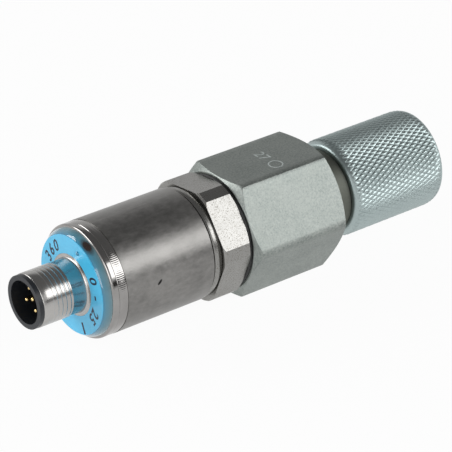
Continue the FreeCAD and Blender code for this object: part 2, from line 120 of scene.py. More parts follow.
class Finish:
    """A surface finish: a material whose shader is fed by signals."""

    def __init__(self, name, constants):
        self.material = bpy.data.materials.new(name)
        self.material.use_nodes = True
        self.nodes = self.material.node_tree.nodes
        self.links = self.material.node_tree.links
        self.shader = self.nodes["Principled BSDF"]
        for socket, value in constants.items():
            self.shader.inputs[socket].default_value = value

    def add(self, kind, settings, inputs, output=0):
        """One node: its settings first, then its sockets, fed by values or signals."""
        node = self.nodes.new(kind)
        for setting, value in settings.items():
            if setting == "stops":
                self.set_stops(node.color_ramp, value)
            else:
                setattr(node, setting, value)
        for socket, value in inputs.items():
            self.feed(node.inputs[socket], value)
        return Signal(self, node.outputs[output])

    def set_stops(self, ramp, stops):
        """Give a colour ramp its stops of (position, grey or colour)."""
        while len(ramp.elements) < len(stops):
            ramp.elements.new(1.0)
        for element, (position, value) in zip(ramp.elements, stops):
            element.position = position
            colour = value if isinstance(value, tuple) else (value, value, value)
            element.color = (*colour, 1.0)

    def feed(self, socket, value):
        """Link a signal to a socket, or set the socket to a plain value."""
        if isinstance(value, Signal):
            self.links.new(value.socket, socket)
        elif isinstance(value, tuple) and len(value) == 3 and socket.type == "RGBA":
            socket.default_value = (*value, 1.0)
        else:
            socket.default_value = value

    def place(self):
        """Where a point lies in the frame, in metres."""
        return self.add("ShaderNodeTexCoord", {}, {}, "Object")

    def stretched(self, scale):
        """The place with each direction scaled by itself."""
        return self.add("ShaderNodeMapping", {}, {"Vector": self.place(), "Scale": scale})

    def noise(self, scale, detail=2.0, roughness=0.5, place=None):
        """Cloudy noise from 0 to 1, with about `scale` blobs to the metre."""
        vector = self.place() if place is None else place
        inputs = {"Vector": vector, "Scale": scale, "Detail": detail, "Roughness": roughness}
        return self.add("ShaderNodeTexNoise", {}, inputs)

    def ramp(self, value, stops):
        """A signal passed through a ramp of (position, level) stops."""
        return self.add("ShaderNodeValToRGB", {"stops": stops}, {0: value})

    def blend(self, factor, first, second):
        """Two colours mixed by a signal."""
        inputs = {"Factor": factor, 6: first, 7: second}
        return self.add("ShaderNodeMix", {"data_type": "RGBA"}, inputs, 2)

    def axis_parts(self):
        """The three coordinates of the place, each as a signal."""
        place = self.place()
        return [self.add("ShaderNodeSeparateXYZ", {}, {0: place}, part) for part in range(3)]

    def spot(self, x, roll, radius, along, across, lean=0.0):
        """How far a point is from a spot on a turned surface: 0 in its middle, 1 on the rim of
        an ellipse with these half lengths, leaning from the axis towards a greater roll."""
        tilt = math.radians(lean)
        outwards = outwards_at(roll)
        onwards = outwards_at(roll + 90)
        axis = Vector((1, 0, 0))
        long_way = (axis * math.cos(tilt) + onwards * math.sin(tilt)) / along
        short_way = (onwards * math.cos(tilt) - axis * math.sin(tilt)) / across
        centre = outwards * radius + Vector((x, 0, 0))
        offset = self.add("ShaderNodeVectorMath", {"operation": "SUBTRACT"},
                          {0: self.place(), 1: centre})
        parts = [self.add("ShaderNodeVectorMath", {"operation": "DOT_PRODUCT"}, {0: offset, 1: way}, 1)
                 for way in (long_way, short_way, outwards / along)]
        return (parts[0] * parts[0] + parts[1] * parts[1] + parts[2] * parts[2]) ** 0.5

    def bump(self, height, distance):
        """Feed the surface's normal with a height signal, `distance` metres from 0 to 1."""
        normal = self.add("ShaderNodeBump", {}, {"Height": height, "Distance": distance})
        self.feed(self.shader.inputs["Normal"], normal)

    def surface(self, **signals):
        """Feed the shader's varying sockets: colour and roughness."""
        sockets = {"colour": "Base Color", "roughness": "Roughness"}
        for name, value in signals.items():
            self.feed(self.shader.inputs[sockets[name]], value)


def dress(node, finish):
    """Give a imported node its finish."""
    node_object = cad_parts[node]
    node_object.data.materials.clear()
    node_object.data.materials.append(finish.material)


def zinc_finish(name, pale, deep, dull, grain_scale, relief):
    """Passivated zinc: fine dull grain over a cloudy cool grey, with a few darker specks. The
    relief is how deep the grain is; what else shapes the surface is added to it."""
    finish = Finish(name, {"Metallic": 1.0})
    clouds = finish.noise(160.0, 3.0, 0.6)
    grain = finish.noise(grain_scale, 3.0, 0.65)
    specks = finish.ramp(finish.noise(3300.0, 1.0), [(0.0, 1.0), (0.28, 1.0), (0.36, 0.0)])
    tone = finish.ramp(clouds * 0.3 + grain * 0.7, [(0.34, 0.0), (0.66, 1.0)])
    colour = finish.blend(tone, deep, pale)
    speck_colour = tuple(0.6 * part for part in deep)
    finish.surface(colour=finish.blend(specks * 0.35, colour, speck_colour),
                   roughness=dull + 0.16 * (grain - 0.5) + 0.10 * (clouds - 0.5))
    return finish, grain * relief


HEX_FLATS = 27.0 * MM
EDGE_ROLL = 1.5 * MM        # how far from a long edge the flats begin to roll over
EDGE_DROP = 0.20 * MM       # how far they have dropped at the edge
NECK_START = -29.8 * MM     # where the neck behind the flats starts to be painted dark olive, as painted shade
NECK_FADE = 0.6 * MM

adapter_zinc, adapter_grain = zinc_finish("adapter_zinc", (0.375, 0.402, 0.38),
                                          (0.20, 0.224, 0.213), 0.44, 2300.0, 0.022 * MM)
adapter_x, adapter_y, adapter_z = adapter_zinc.axis_parts()
across_flat = (adapter_y * adapter_y + adapter_z * adapter_z - (HEX_FLATS / 2) ** 2) ** 0.5
from_edge = HEX_FLATS / 2 * math.tan(math.radians(30)) - across_flat
near_edge = adapter_zinc.ramp(1.0 - from_edge / EDGE_ROLL, [(0.0, 0.0), (1.0, 1.0)])
neck_painted_shade = adapter_zinc.ramp((adapter_x - NECK_START) / NECK_FADE, [(0.0, 0.0), (1.0, 1.0)])
plain_colour, plain_dull = [Signal(adapter_zinc, adapter_zinc.shader.inputs[name].links[0].from_socket)
                            for name in ("Base Color", "Roughness")]
# Painted shade: the neck between the hexagon and the nut is painted darker and olive, and made duller,
# for the shade of that recess.
adapter_zinc.surface(colour=adapter_zinc.blend(neck_painted_shade * 0.8, plain_colour, (0.135, 0.14, 0.115)),
                     roughness=plain_dull + 0.15 * neck_painted_shade)
adapter_zinc.bump(adapter_grain - near_edge * near_edge * EDGE_DROP, 1.0)
dress("adapter_body", adapter_zinc)

STAMP_FIGURES = "27"        # the size across the flats
STAMP_SIZE = 3.6 * MM
STAMP_THINNER = -0.015 * MM
STAMP_HEIGHT = 0.05 * MM
STAMP_X = -41.4 * MM
STAMP_FIGURES_SIDE = -0.8 * MM    # how far towards the front edge of the upper flat
STAMP_CIRCLE_SIDE = 4.0 * MM
STAMP_CIRCLE_RADIUS = 1.55 * MM
STAMP_LINE = 0.14 * MM
STAMP_CIRCLE_HEIGHT = 0.3   # of the line's own radius
MERGE_WITHIN = 0.002 * MM


def start_piece():
    """Leave nothing selected, so that the next primitive stands alone."""
    bpy.ops.object.select_all(action="DESELECT")


def name_piece(name):
    """Name the active object and its mesh."""
    piece = bpy.context.object
    piece.name = name
    piece.data.name = name
    return piece


def settle(piece, matrix):
    """Move a piece's mesh to its place and leave its object at the origin."""
    piece.data.transform(matrix)
    piece.matrix_world = Matrix.Identity(4)


def close_piece(threshold=MERGE_WITHIN):
    """In edit mode, merge what coincides and point every face outwards."""
    bpy.ops.mesh.select_all(action="SELECT")
    bpy.ops.mesh.remove_doubles(threshold=threshold)
    bpy.ops.mesh.normals_make_consistent(inside=False)


def figure(name, text, size, weight, slant, height):
    """Flat raised lettering, made a mesh at the origin."""
    start_piece()
    bpy.ops.object.text_add()
    written = bpy.context.object
    written.data.body = text
    written.data.size = size
    written.data.align_x = "CENTER"
    written.data.align_y = "CENTER"
    written.data.offset = weight
    written.data.shear = slant
    written.data.extrude = height / 2
    written.data.resolution_u = 4
    bpy.ops.object.convert(target="MESH")
    bpy.ops.object.mode_set(mode="EDIT")
    close_piece()
    bpy.ops.object.mode_set(mode="OBJECT")
    return name_piece(name)


def upper_flat_matrix(side):
    """Puts flat artwork on the hexagon's upper flat, with its top towards the nut."""
    return axes_matrix(Vector((0, -1, 0)), Vector((1, 0, 0)), Vector((0, 0, 1)),
                       Vector((STAMP_X, -side, HEX_FLATS / 2)))


# Painted highlight: the stamps are coloured paler than the zinc, standing for their raised edges
# catching the light, with noise for wear.
stamp_zinc = Finish("stamp_zinc", {"Metallic": 0.2})
stamp_wear_and_glint = stamp_zinc.noise(1500.0, 2.0)
stamp_zinc.surface(colour=stamp_zinc.blend(stamp_wear_and_glint, (0.30, 0.34, 0.33), (0.62, 0.68, 0.66)),
                   roughness=0.35 + 0.2 * stamp_wear_and_glint)
stamp_figures = figure("stamp_figures", STAMP_FIGURES, STAMP_SIZE, STAMP_THINNER, 0.0, STAMP_HEIGHT)
settle(stamp_figures, upper_flat_matrix(STAMP_FIGURES_SIDE))
start_piece()
bpy.ops.mesh.primitive_torus_add(major_radius=STAMP_CIRCLE_RADIUS, minor_radius=STAMP_LINE,
                                 major_segments=64, minor_segments=12)
stamp_circle = name_piece("stamp_circle")
flattened = Matrix.Diagonal((1, 1, STAMP_CIRCLE_HEIGHT, 1))
settle(stamp_circle, upper_flat_matrix(STAMP_CIRCLE_SIDE) @ flattened)
for stamp in (stamp_figures, stamp_circle):
    stamp.data.materials.append(stamp_zinc.material)
    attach(stamp, "transmitter")

# ---- opener pin and nose seal ----------------------------------------------------------
# The steel pin pressed in the nose pushes the test point's ball off its seat, and a black
# rubber ring on the nose seals inside the point. Both are seen only through the nut's mouth.


def steel_finish(name, colour, dull, lines, depth):
    """Turned or ground steel: fine rings round the axis and a faint cloudy tone."""
    finish = Finish(name, {"Metallic": 1.0})
    rings = finish.noise(1.0, 2.0, 0.6, finish.stretched((lines, lines * 0.02, lines * 0.02)))
    clouds = finish.noise(220.0, 2.0)
    tone = finish.ramp(clouds, [(0.35, 0.0), (0.65, 1.0)])
    darker = tuple(0.86 * part for part in colour)
    finish.surface(colour=finish.blend(tone, darker, colour),
                   roughness=dull + 0.08 * (rings - 0.5) + 0.06 * (clouds - 0.5))
    finish.bump(rings, depth)
    return finish


def rubber_finish(name, colour):
    """Black rubber, a little dusty."""
    finish = Finish(name, {"Metallic": 0.0})
    dust = finish.noise(900.0, 3.0, 0.6)
    paler = tuple(part + 0.02 for part in colour)
    finish.surface(colour=finish.blend(dust, colour, paler), roughness=0.55 + 0.2 * (dust - 0.5))
    finish.bump(dust, 0.01 * MM)
    return finish


pin_steel = steel_finish("pin_steel", (0.42, 0.41, 0.40), 0.28, 9000.0, 0.004 * MM)
black_rubber = rubber_finish("black_rubber", (0.016, 0.016, 0.017))
dress("opener_pin", pin_steel)
dress("nose_seal", black_rubber)

# ---- retaining wire --------------------------------------------------------------------
# An open ring of drawn spring wire, half in the journal's groove and half in the nut's. It
# keeps the nut on and lets it turn, and it is hidden once the nut is on.

spring_wire = steel_finish("spring_wire", (0.30, 0.30, 0.31), 0.35, 6000.0, 0.003 * MM)
dress("retaining_wire", spring_wire)

# ---- coupling nut ----------------------------------------------------------------------
# The steel nut that a hand screws on the test point. Its grip is rolled with a diamond
# knurl from the round rear shoulder to the mouth, which is countersunk and threaded, and it
# is zinc plated.

AROUND = 58                 # diamonds round the nut
ALONG = 10.5                # diamonds along it
KNURL_DEPTH = 0.21 * MM
KNURL_STEPS = ((0.90, 0.20), (0.34, 0.92), (0.14, 1.0))    # of a diamond's width and height
SAME_PLACE = 0.01 * MM      # closer than this, two places count as one
CUT_PRECISION = 0.001 * MM
NUT_REAR_RADIUS = 9.8 * MM
NUT_SHOULDER = 2.0 * MM
KNURL_FROM_REAR = 0.9 * MM
KNURL_RUN_OUT = 0.8 * MM
KNURL_MOUTH_RUN_OUT = 0.2   # of a diamond
SHOULDER_SHARES = (0.72, 0.46, 0.26, 0.11, 0.03, 0.0)      # of the way up to the knurl
NUT_MOUTH_EDGE = 0.5 * MM
NUT_MOUTH_RADIUS = 8.22 * MM
NUT_JOURNAL_BORE = 8.05 * MM
NUT_JOURNAL_LENGTH = 7.6 * MM
NUT_RELIEF_RADIUS = 8.15 * MM
NUT_THREAD_CREST = 6.92 * MM
NUT_THREAD_ROOT = 7.95 * MM
NUT_THREAD_PITCH = 2.0 * MM
NUT_THREAD_LENGTH = 10.5 * MM
NUT_THREAD_STEPS = 84
NUT_THREAD_SHARPNESS = 1.15
NUT_BORE_EDGE = 0.3 * MM
NUT_RELIEF_EDGE = 0.1 * MM
NUT_MOUTH_ROUND = ((0.15 * MM, 0.1 * MM), (0.0, 0.35 * MM))    # back from the mouth, and inwards
nut_low, nut_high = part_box("coupling_nut")
nut_radius = nut_high.z
knurl_start = nut_low.x + KNURL_FROM_REAR
knurl_end = nut_high.x - NUT_MOUTH_EDGE
knurl_floor = nut_radius - KNURL_DEPTH


def shoulder_radius(x):
    """The nut without its knurl: plain along the grip, rounded down to its rear face."""
    share = min(1.0, max(0.0, (x - nut_low.x) / NUT_SHOULDER))
    return NUT_REAR_RADIUS + (knurl_floor - NUT_REAR_RADIUS) * math.sqrt(1 - (1 - share) ** 2)


def select_vertices(piece, chosen):
    """In edit mode, select just the vertices for which chosen(place) is true."""
    bpy.ops.mesh.select_mode(type="VERT")
    bpy.ops.mesh.select_all(action="DESELECT")
    shape = bmesh.from_edit_mesh(piece.data)
    for vertex in shape.verts:
        vertex.select_set(chosen(vertex.co))
    shape.select_flush(True)
    bmesh.update_edit_mesh(piece.data)


def carry_ring(stations, start):
    """In edit mode, extrude the selected ring through the (x, radius) stations, from the
    (x, radius) where it is."""
    here_x, here_radius = start
    for x, radius in stations:
        bpy.ops.mesh.extrude_region_move()
        factor = radius / here_radius
        bpy.ops.transform.resize(value=(1, factor, factor), center_override=(0, 0, 0))
        bpy.ops.transform.translate(value=(x - here_x, 0, 0))
        here_x, here_radius = x, radius


def apply_modifier(piece, kind, **settings):
    """Add one modifier with its settings and apply it."""
    modifier = piece.modifiers.new(kind.lower(), kind)
    for setting, value in settings.items():
        setattr(modifier, setting, value)
    bpy.ops.object.modifier_apply(modifier=modifier.name)


def smooth(piece, degrees):
    """Smooth shading, with edges sharper than the angle left crisp."""
    bpy.ops.object.select_all(action="DESELECT")
    piece.select_set(True)
    bpy.context.view_layer.objects.active = piece
    bpy.ops.object.shade_smooth_by_angle(angle=math.radians(degrees))


def diamond(along, across, depth):
    """One diamond of the knurl, lying flat: a four-sided tooth that rounds off to its top."""
    bpy.ops.mesh.primitive_circle_add(vertices=4, radius=0.5, fill_type="NGON")
    bpy.ops.object.mode_set(mode="EDIT")
    bpy.ops.transform.resize(value=(along, across, 1), center_override=(0, 0, 0))
    width, height = 1.0, 0.0
    for next_width, next_height in KNURL_STEPS:
        rise = (next_height - height) * depth
        bpy.ops.mesh.extrude_region_move(TRANSFORM_OT_translate={"value": (0, 0, rise)})
        narrower = next_width / width
        bpy.ops.transform.resize(value=(narrower, narrower, 1), center_override=(0, 0, 0))
        width, height = next_width, next_height
    tooth = bpy.context.object
    select_vertices(tooth, lambda place: place.z < CUT_PRECISION)
    bpy.ops.mesh.delete(type="ONLY_FACE")
    bpy.ops.object.mode_set(mode="OBJECT")
    return tooth


def knurled_band():
    """The flat pattern of diamonds, trimmed at both ends and rolled round the axis."""
    along = (knurl_end - knurl_start) / ALONG
    across = 2 * math.pi * nut_radius / AROUND
    start_piece()
    band = diamond(along, across, KNURL_DEPTH)
    bpy.ops.object.mode_set(mode="EDIT")
    bpy.ops.mesh.select_all(action="SELECT")
    bpy.ops.mesh.duplicate_move(TRANSFORM_OT_translate={"value": (along / 2, across / 2, 0)})
    bpy.ops.object.mode_set(mode="OBJECT")
    for direction, count in (((along, 0, 0), math.ceil(ALONG) + 1), ((0, across, 0), AROUND)):
        apply_modifier(band, "ARRAY", count=count, use_relative_offset=False,
                       use_constant_offset=True, constant_offset_displace=direction)
    bpy.ops.object.mode_set(mode="EDIT")
    for cut, side in ((0, -1), (ALONG * along, 1)):
        bpy.ops.mesh.select_all(action="SELECT")
        bpy.ops.mesh.bisect(plane_co=(cut, 0, 0), plane_no=(side, 0, 0), clear_outer=True)
    bpy.ops.object.mode_set(mode="OBJECT")
    for vertex in band.data.vertices:
        x, arc, height = vertex.co
        fade = min(1.0, x / KNURL_RUN_OUT, (ALONG - x / along) / KNURL_MOUTH_RUN_OUT)
        radius = shoulder_radius(knurl_start + x) + fade * height
        angle = arc / nut_radius
        vertex.co = (knurl_start + x, -radius * math.sin(angle), radius * math.cos(angle))
    return band


def thread_depth(x, angle):
    """How deep the nut's thread is cut at a place, from 0 at its crest to 1 at its root."""
    turn = (x / NUT_THREAD_PITCH - angle / (2 * math.pi)) % 1.0
    slope = 1 - abs(2 * turn - 1)
    return min(1.0, max(0.0, NUT_THREAD_SHARPNESS * (slope - 0.5) + 0.5))


def knurled_nut():
    """The band, carried on over the rear shoulder into the journal's bore, and over the mouth
    into the thread. The two meet there, half a diamond apart, so the last ring is turned. The
    hidden groove for the retaining wire is left out."""
    band = knurled_band()
    relief_x = -NUT_THREAD_LENGTH - (NUT_RELIEF_RADIUS - NUT_THREAD_CREST)
    bore_end = nut_low.x + NUT_JOURNAL_LENGTH
    bpy.ops.object.mode_set(mode="EDIT")
    select_vertices(band, lambda place: abs(place.x - knurl_start) < SAME_PLACE)
    rear = []
    for share in SHOULDER_SHARES:
        x = nut_low.x + share * KNURL_FROM_REAR
        rear.append((x, shoulder_radius(x)))
    rear += [(nut_low.x, NUT_JOURNAL_BORE + NUT_BORE_EDGE),
             (nut_low.x + NUT_BORE_EDGE, NUT_JOURNAL_BORE),
             (bore_end, NUT_JOURNAL_BORE),
             (bore_end + NUT_RELIEF_EDGE, NUT_RELIEF_RADIUS),
             (relief_x, NUT_RELIEF_RADIUS)]
    carry_ring(rear, (knurl_start, shoulder_radius(knurl_start)))
    select_vertices(band, lambda place: abs(place.x - knurl_end) < SAME_PLACE)
    mouth = [(nut_high.x - back, knurl_floor - inwards) for back, inwards in NUT_MOUTH_ROUND]
    mouth += [(nut_high.x, NUT_MOUTH_RADIUS), (0, NUT_THREAD_CREST)]
    mouth += [(-NUT_THREAD_LENGTH * step / NUT_THREAD_STEPS, NUT_THREAD_CREST)
              for step in range(1, NUT_THREAD_STEPS + 1)]
    mouth += [(relief_x, NUT_RELIEF_RADIUS)]
    carry_ring(mouth, (knurl_end, knurl_floor))
    bpy.ops.transform.rotate(value=math.pi / AROUND, orient_axis="X", center_override=(0, 0, 0))
    close_piece(2 * MERGE_WITHIN)
    bpy.ops.object.mode_set(mode="OBJECT")
    for vertex in band.data.vertices:
        x, y, z = vertex.co
        radius = math.hypot(y, z)
        if -NUT_THREAD_LENGTH < x < -SAME_PLACE and radius < NUT_THREAD_CREST + SAME_PLACE:
            ends = min(1.0, -x / (0.5 * NUT_THREAD_PITCH),
                       (NUT_THREAD_LENGTH + x) / NUT_THREAD_PITCH)
            cut = thread_depth(x, math.atan2(-y, z)) * ends
            factor = (radius + cut * (NUT_THREAD_ROOT - NUT_THREAD_CREST)) / radius
            vertex.co = (x, y * factor, z * factor)
    return band


nut_zinc, nut_grain = zinc_finish("nut_zinc", (0.46, 0.54, 0.535), (0.385, 0.455, 0.455), 0.36,
                                  2600.0, 0.010 * MM)
nut_zinc.bump(nut_grain, 1.0)
nut = knurled_nut()
name_piece("coupling_nut_knurled")
smooth(nut, 38)
nut.data.materials.append(nut_zinc.material)
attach(nut, "nut")
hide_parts("coupling_nut")

# ---- profile seal ----------------------------------------------------------------------
# The black elastomer ring that is clamped flat between the two hexagons. Only its edge shows,
# as a dark line.

SEAL_PRESSED = 0.5 * MM
SEAL_RADIUS = 12.9 * MM
SEAL_BORE = 6.9 * MM
SEAL_EDGE = 0.1 * MM
SEAL_STEPS = 160


def turned_piece(name, outline, steps):
    """A piece from the lathe: its outline of (x, radius) points is drawn from one point by
    extruding it, then spun about the axis."""
    start_piece()
    bpy.ops.mesh.primitive_plane_add(size=MM)
    bpy.ops.object.mode_set(mode="EDIT")
    bpy.ops.mesh.merge(type="CENTER")
    here = Vector((0, 0, 0))
    for number, (x, radius) in enumerate(outline):
        there = Vector((x, 0, radius))
        if number == 0:
            bpy.ops.transform.translate(value=there - here)
        else:
            bpy.ops.mesh.extrude_region_move(TRANSFORM_OT_translate={"value": there - here})
        here = there
    bpy.ops.mesh.select_all(action="SELECT")
    bpy.ops.mesh.spin(steps=steps, angle=2 * math.pi, center=(0, 0, 0), axis=(1, 0, 0))
    close_piece()
    bpy.ops.object.mode_set(mode="OBJECT")
    return name_piece(name)


adapter_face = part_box("seal_ring")[1].x
port_rear = adapter_face - SEAL_PRESSED
seal = turned_piece("seal_ring_pressed",
                    [(port_rear, SEAL_BORE), (port_rear, SEAL_RADIUS - SEAL_EDGE),
                     (port_rear + SEAL_EDGE, SEAL_RADIUS), (adapter_face - SEAL_EDGE, SEAL_RADIUS),
                     (adapter_face, SEAL_RADIUS - SEAL_EDGE), (adapter_face, SEAL_BORE),
                     (port_rear, SEAL_BORE)], SEAL_STEPS)
smooth(seal, 50)
seal.data.materials.append(black_rubber.material)
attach(seal, "transmitter")
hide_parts("seal_ring")

# ---- process port ----------------------------------------------------------------------
# The stainless piece that takes the pressure: turned with a spigot for the tube, a polished bead
# between two notches and a stud for the adapter, then milled to a hexagon, smooth and bright
# with tiny pits. The corners keep a strip of the turned bar.

PORT_FLATS = 25.0 * MM
PORT_BAR_RADIUS = 13.7 * MM
PORT_HEX_ROLL = -7.5
PORT_HEX_START = 2.2 * MM        # behind the tube
PORT_NOTCH_RADIUS = 12.05 * MM
PORT_FRONT_NOTCH = 0.38 * MM     # the notches' lengths
PORT_REAR_NOTCH = 0.228 * MM
PORT_BEAD_RADIUS = 12.48 * MM
PORT_BEAD_STEPS = 14
PORT_FRONT_CHAMFER = 0.4 * MM
PORT_REAR_CHAMFER = 1.15 * MM    # how far in from the bar it begins
PORT_REAR_SLOPE = 30             # degrees from the face
PORT_SPIGOT_LENGTH = 4.0 * MM
PORT_SPIGOT_RADIUS = 11.37 * MM
PORT_CUP_RADIUS = 9.97 * MM      # inside the spigot
PORT_STUD_RADIUS = 6.58 * MM
PORT_STUD_CHAMFER = 1.2 * MM
PORT_RELIEF_LENGTH = 2.0 * MM    # behind the hexagon
PORT_RELIEF_DEPTH = 0.95 * MM
PORT_BORE = 1.5 * MM
PORT_STEPS = 240


def milled_port():
    """The port's outline, turned, then six flats cut off the bar behind the bead."""
    port_low, port_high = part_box("process_port")
    stud_end = port_high.x
    front = port_low.x + PORT_SPIGOT_LENGTH
    hex_front = front + PORT_HEX_START
    relief_end = port_rear + PORT_RELIEF_LENGTH
    relief_radius = PORT_STUD_RADIUS - PORT_RELIEF_DEPTH
    outline = [(front, PORT_BORE), (front, PORT_CUP_RADIUS), (port_low.x, PORT_CUP_RADIUS),
               (port_low.x, PORT_SPIGOT_RADIUS), (front, PORT_SPIGOT_RADIUS),
               (front, PORT_NOTCH_RADIUS)]
    bead_start = front + PORT_FRONT_NOTCH
    bead_end = hex_front - PORT_REAR_NOTCH
    for step in range(PORT_BEAD_STEPS + 1):
        share = step / PORT_BEAD_STEPS
        rise = math.sqrt(1 - abs(2 * share - 1) ** 3)
        outline.append((bead_start + share * (bead_end - bead_start),
                        PORT_NOTCH_RADIUS + rise * (PORT_BEAD_RADIUS - PORT_NOTCH_RADIUS)))
    outline += [(hex_front, PORT_NOTCH_RADIUS), (hex_front, PORT_BAR_RADIUS - PORT_FRONT_CHAMFER),
                (hex_front + PORT_FRONT_CHAMFER, PORT_BAR_RADIUS),
                (port_rear - PORT_REAR_CHAMFER * math.tan(math.radians(PORT_REAR_SLOPE)),
                 PORT_BAR_RADIUS),
                (port_rear, PORT_BAR_RADIUS - PORT_REAR_CHAMFER), (port_rear, relief_radius),
                (relief_end, relief_radius), (relief_end + PORT_RELIEF_DEPTH, PORT_STUD_RADIUS),
                (stud_end - PORT_STUD_CHAMFER, PORT_STUD_RADIUS),
                (stud_end, PORT_STUD_RADIUS - PORT_STUD_CHAMFER), (stud_end, PORT_BORE),
                (front, PORT_BORE)]
    port = turned_piece("process_port_milled", outline, PORT_STEPS)
    bpy.ops.object.mode_set(mode="EDIT")
    for flat in range(6):
        outwards = outwards_at(PORT_HEX_ROLL + 60 * flat)
        bpy.ops.mesh.select_all(action="SELECT")
        bpy.ops.mesh.bisect(plane_co=outwards * PORT_FLATS / 2, plane_no=outwards,
                            clear_outer=True, use_fill=True, threshold=CUT_PRECISION)
    bpy.ops.object.mode_set(mode="OBJECT")
    return port


port_steel = Finish("port_steel", {"Metallic": 1.0})
port_pits = port_steel.ramp(port_steel.noise(4200.0, 2.0, 0.7),
                            [(0.0, 1.0), (0.34, 1.0), (0.46, 0.0)])
port_clouds = port_steel.noise(300.0, 2.0)
port_mill = port_steel.noise(1.0, 2.0, 0.6, port_steel.stretched((4200.0, 500.0, 500.0)))
port_tone = port_steel.blend(port_clouds, (0.28, 0.277, 0.266), (0.34, 0.337, 0.325))
port_steel.surface(colour=port_steel.blend(port_pits * 0.75, port_tone, (0.16, 0.145, 0.12)),
                   roughness=0.24 + 0.12 * (port_mill - 0.5) + 0.15 * port_pits)
port_steel.bump(port_mill * 0.6 - port_pits * 0.4, 0.004 * MM)
port = milled_port()
smooth(port, 18)
port.data.materials.append(port_steel.material)
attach(port, "transmitter")
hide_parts("process_port")

# ---- measuring cell and electronics ----------------------------------------------------
# The cell is welded in the port's cup, and a ribbon joins it to the amplifier's board, which
# stands between a slotted holder and the contacts' round board. All of it is hidden.


def board_finish(name, colour):
    """Circuit board: green resist over a faint weave of glass cloth."""
    finish = Finish(name, {"Roughness": 0.35, "Coat Weight": 0.4})
    weave = finish.noise(2400.0, 1.0)
    finish.surface(colour=finish.blend(weave, colour, tuple(1.4 * part for part in colour)))
    return finish


cell_steel = steel_finish("cell_steel", (0.40, 0.39, 0.38), 0.30, 7000.0, 0.003 * MM)
board_green = board_finish("board_green", (0.03, 0.16, 0.07))
ribbon_amber = board_finish("ribbon_amber", (0.55, 0.28, 0.06))
ceramic_tan = board_finish("ceramic_tan", (0.48, 0.36, 0.24))
dress("sensor_cell", cell_steel)
dress("contact_board", board_green)
dress("main_board", board_green)
dress("cell_ribbon", ribbon_amber)
dress("capacitors", ceramic_tan)

# ---- housing tube ----------------------------------------------------------------------
# The stainless tube between the port and the front ring, ground to a satin and slightly
# cloudy. It has one small dark nick low on the side that faces out.

NICK_FROM_FRONT = 8.1 * MM
NICK_ROLL = 83.6
NICK_SIZE = (0.85 * MM, 0.32 * MM)    # half its length and half its width
NICK_LEAN = -42.0

tube_low, tube_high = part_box("housing_tube")
tube_satin = Finish("tube_satin", {"Metallic": 1.0})
tube_rings = tube_satin.noise(1.0, 2.0, 0.6, tube_satin.stretched((5200.0, 60.0, 60.0)))
tube_clouds = tube_satin.noise(1.0, 5.0, 0.68, tube_satin.stretched((520.0, 900.0, 900.0)))
tube_smears = tube_satin.noise(110.0, 2.0)
nick_gap = tube_satin.spot(tube_low.x + NICK_FROM_FRONT, NICK_ROLL, tube_high.z, *NICK_SIZE,
                           NICK_LEAN)
nick_mask = tube_satin.ramp(nick_gap * 0.5 + 0.35 * (tube_clouds - 0.5),
                            [(0.34, 1.0), (0.52, 0.0)])
tube_patch = tube_satin.ramp(tube_smears * 0.4 + tube_clouds * 0.6, [(0.36, 0.0), (0.64, 1.0)])
tube_tone = tube_satin.blend(tube_patch, (0.19, 0.187, 0.18), (0.295, 0.288, 0.278))
tube_satin.surface(colour=tube_satin.blend(nick_mask, tube_tone, (0.03, 0.03, 0.03)),
                   roughness=0.37 + 0.25 * (tube_clouds - 0.5) + 0.06 * (tube_rings - 0.5))
tube_satin.bump(tube_rings * 0.15 + tube_clouds * 0.85 - nick_mask * 2.0, 0.035 * MM)
dress("housing_tube", tube_satin)

# ---- front ring ------------------------------------------------------------------------
# The stainless cover of the housing: a polished band with a round edge, a fine groove, and
# the band where the laser welded it to the tube, which keeps the ripples of the pulses.

RIPPLES = 190
RIPPLE_SAMPLES = 5
RIPPLE_DEPTH = 0.024 * MM
RING_EDGE = 0.55 * MM
WELD_BAND = 2.2 * MM
GROOVE_HALF = 0.12 * MM
GROOVE_DEPTH = 0.17 * MM
WELD_CROWN = 0.05 * MM      # how much the welded band swells to its middle
WELD_STEPS = 12
RIPPLE_CURVE = 1.2          # how strongly a ripple bows across the band
RING_INNER_RADIUS = 7.0 * MM
RING_FACE = 2.0 * MM        # its thickness
RING_BAND_BORE = 11.3 * MM
SPIGOT_LENGTH = 1.0 * MM    # a skin without thickness, hidden in the tube


